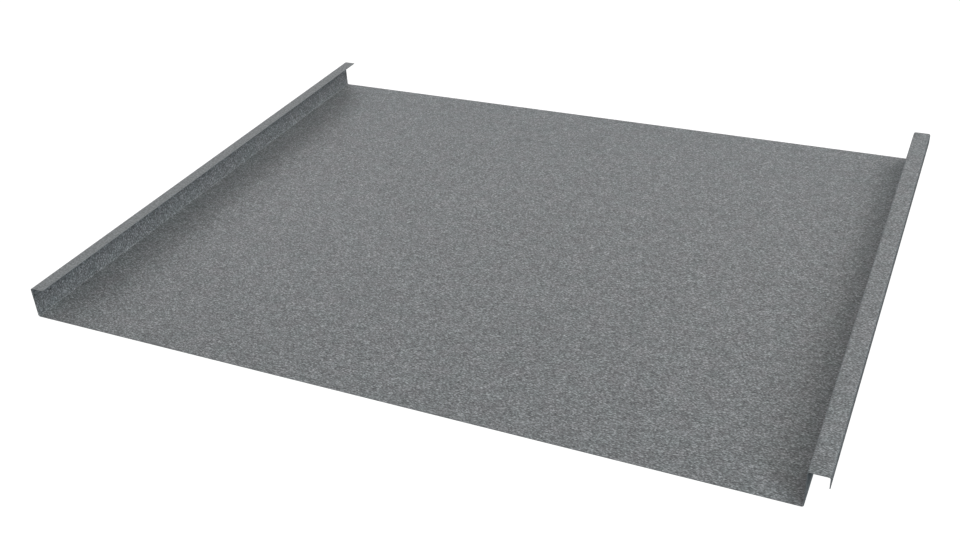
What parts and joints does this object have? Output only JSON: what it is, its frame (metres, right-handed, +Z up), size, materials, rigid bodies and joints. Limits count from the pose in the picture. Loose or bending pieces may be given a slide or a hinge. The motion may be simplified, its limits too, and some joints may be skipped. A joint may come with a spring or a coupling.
{
  "type": "standing seam roof panel",
  "caption": "Folded sheet metal roof panel: a flat pan between a male leg with an inward flange and a female leg with an outward hooked flange.",
  "frame": {"origin": "middle of the panel's outline seen from above, on the level of the pan's underside", "axes": "+X across the panel from the male leg to the female leg, +Y along the seams, +Z up from the pan"},
  "size_m": [0.539, 0.4314, 0.0245],
  "materials": {
    "panel_metal": "matte"
  },
  "bodies": {
    "root": {"roof_panel": "panel_metal"}
  },
  "joints": []
}
